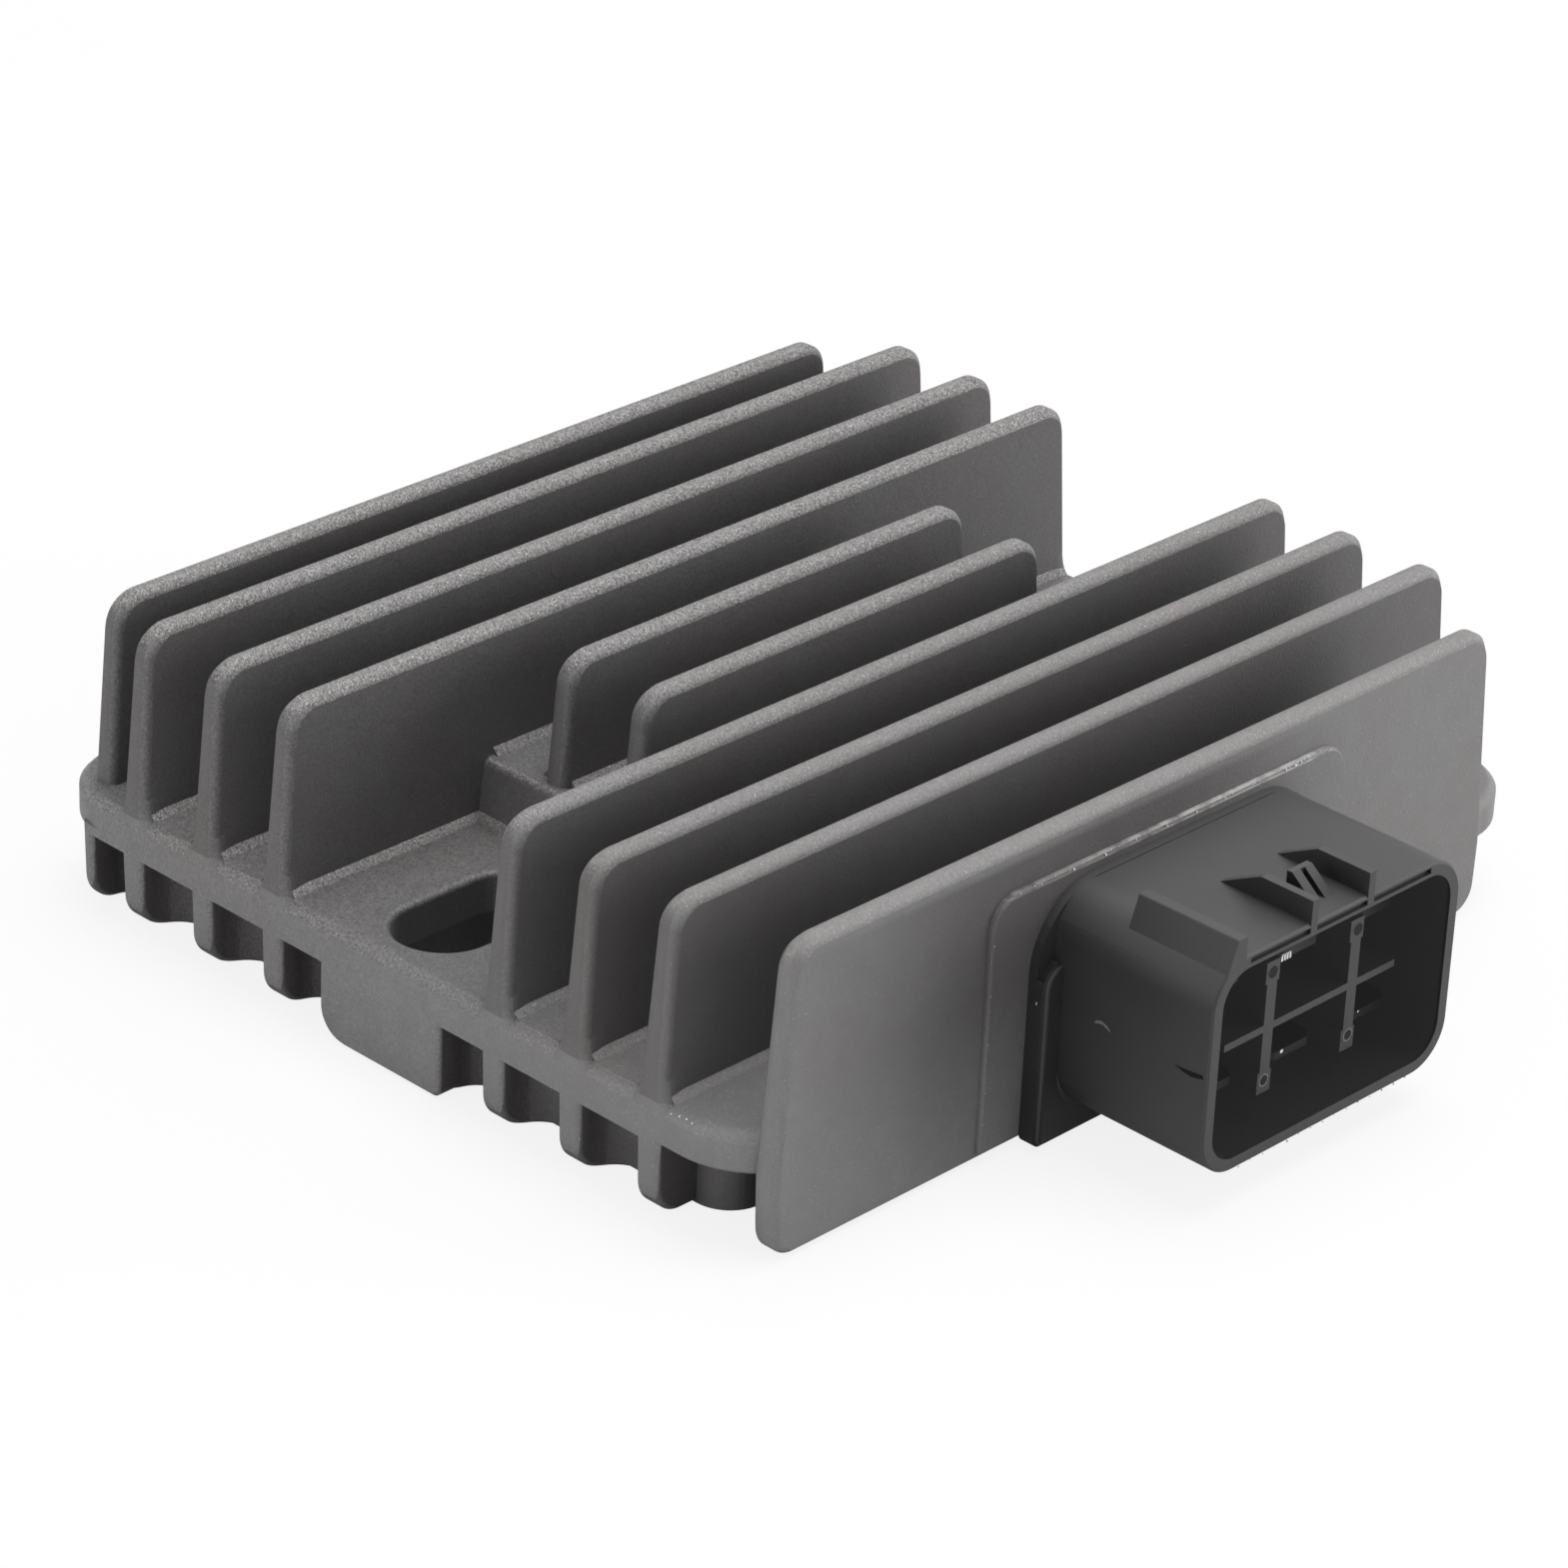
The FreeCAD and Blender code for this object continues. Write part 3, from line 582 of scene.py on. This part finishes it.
def fleckScatter():
    # lumps of random size along an edge line, lying a little to either side of it
    group = bpy.data.node_groups.new("fleckScatter", "GeometryNodeTree")
    for name, kind in (("Line", "Geometry"), ("Count", "Int"), ("Size", "Float"), ("Spread", "Float"),
                       ("Seed", "Int"), ("Material", "Material")):
        group.interface.new_socket(name, in_out="INPUT", socket_type="NodeSocket" + kind)
    group.interface.new_socket("Flecks", in_out="OUTPUT", socket_type="NodeSocketGeometry")
    given = group.nodes.new("NodeGroupInput").outputs
    result = group.nodes.new("NodeGroupOutput")

    def randomVector(low, high):
        node = addNode(group, "FunctionNodeRandomValue", {0: low, 1: high, "Seed": given["Seed"]},
                       data_type="FLOAT_VECTOR")
        return node.outputs[0]

    def scaled(vector, factor):
        node = addNode(group, "ShaderNodeVectorMath", {0: vector, "Scale": factor}, operation="SCALE")
        return node.outputs[0]

    curve = addNode(group, "GeometryNodeMeshToCurve", {"Mesh": given["Line"]})
    points = addNode(group, "GeometryNodeCurveToPoints",
                     {"Curve": curve.outputs[0], "Count": given["Count"]}, mode="COUNT")
    spread = scaled((1, 1, 1), given["Spread"])
    moved = addNode(group, "GeometryNodeSetPosition",
                    {"Geometry": points.outputs["Points"],
                     "Offset": randomVector(scaled(spread, -1.0), spread)})
    lump = addNode(group, "GeometryNodeMeshIcoSphere", {"Radius": 1.0, "Subdivisions": 1})
    placed = addNode(group, "GeometryNodeInstanceOnPoints",
                     {"Points": moved.outputs[0], "Instance": lump.outputs[0],
                      "Rotation": randomVector((0, 0, 0), fleckShape["fullTurn"]),
                      "Scale": scaled(randomVector(fleckShape["least"], fleckShape["most"]), given["Size"])})
    real = addNode(group, "GeometryNodeRealizeInstances", {"Geometry": placed.outputs[0]})
    painted = addNode(group, "GeometryNodeSetMaterial",
                      {"Geometry": real.outputs[0], "Material": given["Material"]})
    group.links.new(painted.outputs[0], result.inputs[0])
    return group


fleckRuns = [
    {"name": "padEdgeFlecks", "from": (46.5, -21.4, 25.42), "to": (46.5, 18.4, 25.42), "count": 46,
     "size": 0.085, "spread": 0.10, "seed": 4, "material": bareChipAndGlint, "slot": "casting"},
    {"name": "padEdgeChips", "from": (46.6, -14.8, 25.40), "to": (46.6, 17.0, 25.44), "count": 9,
     "size": 0.19, "spread": 0.16, "seed": 11, "material": bareChipAndGlint, "slot": "casting"},
    {"name": "padCornerChips", "from": (46.6, 13.2, 25.36), "to": (46.6, 16.2, 25.42), "count": 7,
     "size": 0.24, "spread": 0.18, "seed": 3, "material": bareChipAndGlint, "slot": "casting"},
    {"name": "padSideFlecks", "from": (46.62, -24.5, 21.5), "to": (46.62, -24.5, 4.0), "count": 12,
     "size": 0.06, "spread": 0.08, "seed": 6, "material": bareChipAndGlint, "slot": "casting"},
    {"name": "plateEdgeChips", "from": (35.0, -51.3, 11.0), "to": (38.2, -51.2, 11.0), "count": 5,
     "size": 0.17, "spread": 0.15, "seed": 8, "material": bareChipAndGlint, "slot": "casting"},
    {"name": "wallFootChips", "from": (41.6, -47.6, 11.35), "to": (43.6, -46.6, 11.35), "count": 6,
     "size": 0.16, "spread": 0.18, "seed": 2, "material": bareChipAndGlint, "slot": "casting"},
    {"name": "finTipChips", "from": (-23.6, -45.5, 29.55), "to": (-23.2, -38.5, 29.58), "count": 9,
     "size": 0.13, "spread": 0.30, "seed": 5, "material": bareChipAndGlint, "slot": "casting"},
    {"name": "finTipFlash", "from": (-23.35, -34.7, 29.56), "to": (-23.35, -33.7, 29.56), "count": 4,
     "size": 0.34, "spread": 0.07, "seed": 12, "material": flashMetal, "slot": "casting"},
    {"name": "flangeFleck", "from": (47.64, -19.70, 14.60), "to": (47.70, -19.70, 14.68), "count": 2,
     "size": 0.15, "spread": 0.03, "seed": 1, "material": flashMetal, "slot": "connector_plastic"},
    {"name": "mouthBurrs", "from": (65.15, -12.5, 3.52), "to": (65.15, 9.8, 3.52), "count": 15,
     "size": 0.12, "spread": 0.05, "seed": 9, "material": paleScuffAndHighlight, "slot": "connector_plastic"},
]
fleckGroup = fleckScatter()
for run in fleckRuns:
    piece = meshPiece(run["name"], [run["from"], run["to"]], edges=[(0, 1)])
    scatter = piece.modifiers.new("scatter", "NODES")
    scatter.node_group = fleckGroup
    given = {"Count": run["count"], "Size": run["size"] * mm, "Spread": run["spread"] * mm,
             "Seed": run["seed"], "Material": run["material"]}
    for socket in fleckGroup.interface.items_tree:
        if socket.in_out == "INPUT" and socket.name in given:
            scatter[socket.identifier] = given[socket.name]
    plain = bpy.data.meshes.new_from_object(piece.evaluated_get(bpy.context.evaluated_depsgraph_get()))
    piece.modifiers.clear()
    piece.data = plain
    keepPiece(piece)
print("flecks on", len(fleckRuns), "edges")


# Marks and a painted slit shade on the connector's near side, pin marks with painted shade and highlight on
# the partition, and painted glints on the blades

sideY = -17.66
sideMarks = [
    ("scuff", paleScuffAndHighlight, [(52.5, 14.02), (52.7, 14.40), (53.3, 14.56), (54.0, 14.30), (54.4, 13.86),
                          (54.0, 14.00), (53.5, 14.26), (52.95, 14.20)]),
    # slit: painted shade of a thin groove in the side
    ("slit", slitShade, [(61.5, 13.95), (62.3, 13.96), (64.6, 14.16), (64.75, 13.82), (63.4, 13.52),
                        (62.4, 13.64)]),
]
for name, material, outline in sideMarks:
    mark = meshPiece(name, [(x, sideY, z) for x, z in outline], [range(len(outline))])
    mark.data.materials.append(material)
    keepPiece(mark)

pinSizes = {"x": 62.71, "dot": 0.58, "ringIn": 0.50, "ringOut": 0.62, "turn": 20,
            "upper": [("pinUpLeft", -6.90, 19.26), ("pinUpRight", 4.35, 19.28)],
            "lower": [("pinLowLeft", -6.92, 8.72), ("pinLowRight", 4.28, 8.9)]}


def pinMark(name, y, z, inner, outer, material):
    # ring or disk on the front of a bar's head
    rings = [[(pinSizes["x"], y + r * math.cos(math.radians(a)), z + r * math.sin(math.radians(a)))
              for a in range(0, 361, pinSizes["turn"])] for r in (inner, outer)]
    ringPiece(name, rings, material)


# painted shadow in the hollow of each upper pin mark
for name, y, z in pinSizes["upper"]:
    pinMark(name + "Dot", y, z, 0.0, pinSizes["dot"], pinShadow)
# pale ring: painted highlight on the rim of each lower pin mark, round a painted shadow in its hollow
for name, y, z in pinSizes["lower"]:
    pinMark(name + "Ring", y, z, pinSizes["ringIn"], pinSizes["ringOut"], paleScuffAndHighlight)
    pinMark(name + "Floor", y, z, 0.0, pinSizes["ringIn"], pinShadow)

glintSizes = {"x": 61.01, "stripes": 4, "pitch": 0.36, "wide": 0.22, "y": -3.75, "low": 18.35, "high": 18.95,
              "bars": [(-3.75, -2.45, 18.88, 19.0), (-2.75, -2.4, 9.0, 9.32), (7.6, 7.8, 9.1, 9.28)]}


def buildGlints():
    # painted glints: a row of stripes on one blade, then single bars given by their two sides, foot and top
    s = glintSizes
    starts = [s["y"] + s["pitch"] * i for i in range(s["stripes"])]
    corners, quads = [], []
    for y0, y1, z0, z1 in [(y, y + s["wide"], s["low"], s["high"]) for y in starts] + s["bars"]:
        quads.append(range(len(corners), len(corners) + 4))
        corners += [(s["x"], y, z) for y, z in ((y0, z0), (y1, z0), (y1, z1), (y0, z1))]
    glints = meshPiece("bladeGlints", corners, quads)
    glints.data.materials.append(bareChipAndGlint)
    keepPiece(glints)


buildGlints()
print("marks in place")


# Floor, light and camera

stageSizes = {"floorHalf": 3.0, "floorZ": -0.00005, "floorLow": 0.90, "floorHigh": 0.93, "floorGlow": 0.85,
              "worldTone": 0.47}
lamps = [
    {"name": "topLamp", "place": (0.05, 0.25, 1.15), "size": 0.9, "watts": 8.3, "aim": (0, 0, 0.012)},
    {"name": "sideLamp", "place": (0.42, 0.42, 0.14), "size": 0.35, "watts": 1.68, "aim": (0.03, 0, 0.012)},
    {"name": "frontLamp", "place": (-0.10, -1.0, 0.22), "size": 0.6, "watts": 2.8, "aim": (0, 0, 0.012)},
]


def buildFloor():
    # pale floor that glows to the camera only, so that it stays white and keeps the shadow
    half, low = stageSizes["floorHalf"], stageSizes["floorZ"]
    mesh = bpy.data.meshes.new("floor")
    mesh.from_pydata([(-half, -half, low), (half, -half, low), (half, half, low), (-half, half, low)],
                     [], [(0, 1, 2, 3)])
    floor = bpy.data.objects.new("floor", mesh)
    bpy.context.scene.collection.objects.link(floor)
    material, tree, shader = newMaterial("paleFloor")
    tone = stretch(tree, noise(tree, objectPlace(tree), 12, 2), 0.3, 0.7, stageSizes["floorLow"],
                   stageSizes["floorHigh"])
    setSocket(tree, shader.inputs["Base Color"], mixColor(tree, tone, (0, 0, 0, 1), (1, 1, 1, 1)))
    shader.inputs["Roughness"].default_value = 0.9
    glow = addNode(tree, "ShaderNodeEmission", {"Color": (1, 1, 1, 1), "Strength": 1.0})
    cameraRay = addNode(tree, "ShaderNodeLightPath").outputs["Is Camera Ray"]
    mix = addNode(tree, "ShaderNodeMixShader", {0: times(tree, cameraRay, stageSizes["floorGlow"]),
                                                1: shader.outputs["BSDF"], 2: glow.outputs["Emission"]})
    output = next(node for node in tree.nodes if node.type == "OUTPUT_MATERIAL")
    tree.links.new(mix.outputs[0], output.inputs["Surface"])
    mesh.materials.append(material)


def buildWorld():
    # soft grey light that the camera, reflections and clear pieces see as white
    world = bpy.data.worlds.new("studio")
    bpy.context.scene.world = world
    world.use_nodes = True
    tree = world.node_tree
    tree.nodes.clear()
    path = addNode(tree, "ShaderNodeLightPath").outputs
    seen = mostOf(tree, path["Is Camera Ray"], path["Is Transmission Ray"], path["Is Glossy Ray"])
    strength = stretch(tree, seen, 0.0, 1.0, stageSizes["worldTone"], 1.0)
    background = addNode(tree, "ShaderNodeBackground", {"Color": (1, 1, 1, 1), "Strength": strength})
    output = tree.nodes.new("ShaderNodeOutputWorld")
    tree.links.new(background.outputs[0], output.inputs["Surface"])


def areaLamp(lamp):
    light = bpy.data.lights.new(lamp["name"], "AREA")
    light.shape = "DISK"
    light.size = lamp["size"]
    light.energy = lamp["watts"]
    stand = bpy.data.objects.new(lamp["name"], light)
    stand.location = lamp["place"]
    stand.rotation_mode = "QUATERNION"
    stand.rotation_quaternion = (Vector(lamp["aim"]) - Vector(lamp["place"])).to_track_quat("-Z", "Y")
    bpy.context.scene.collection.objects.link(stand)


cameraSizes = {"place": (0.33257, -0.35530, 0.26302), "right": (0.71353, 0.69946, 0.04044),
               "up": (-0.34872, 0.30449, 0.88639), "lens": 136.545, "sensor": 36.0,
               "clipStart": 0.01, "clipEnd": 20.0}


def buildCamera():
    data = bpy.data.cameras.new("camera")
    data.lens = cameraSizes["lens"]
    data.sensor_width = cameraSizes["sensor"]
    data.clip_start, data.clip_end = cameraSizes["clipStart"], cameraSizes["clipEnd"]
    camera = bpy.data.objects.new("camera", data)
    bpy.context.scene.collection.objects.link(camera)
    right, up = Vector(cameraSizes["right"]).normalized(), Vector(cameraSizes["up"]).normalized()
    turn = Matrix((right, up, right.cross(up))).transposed()
    camera.matrix_world = Matrix.Translation(cameraSizes["place"]) @ turn.to_4x4()
    bpy.context.scene.camera = camera


buildFloor()
buildWorld()
for lamp in lamps:
    areaLamp(lamp)
buildCamera()
bpy.context.scene.view_settings.view_transform = "Standard"
print("stage, lamps and camera in place")
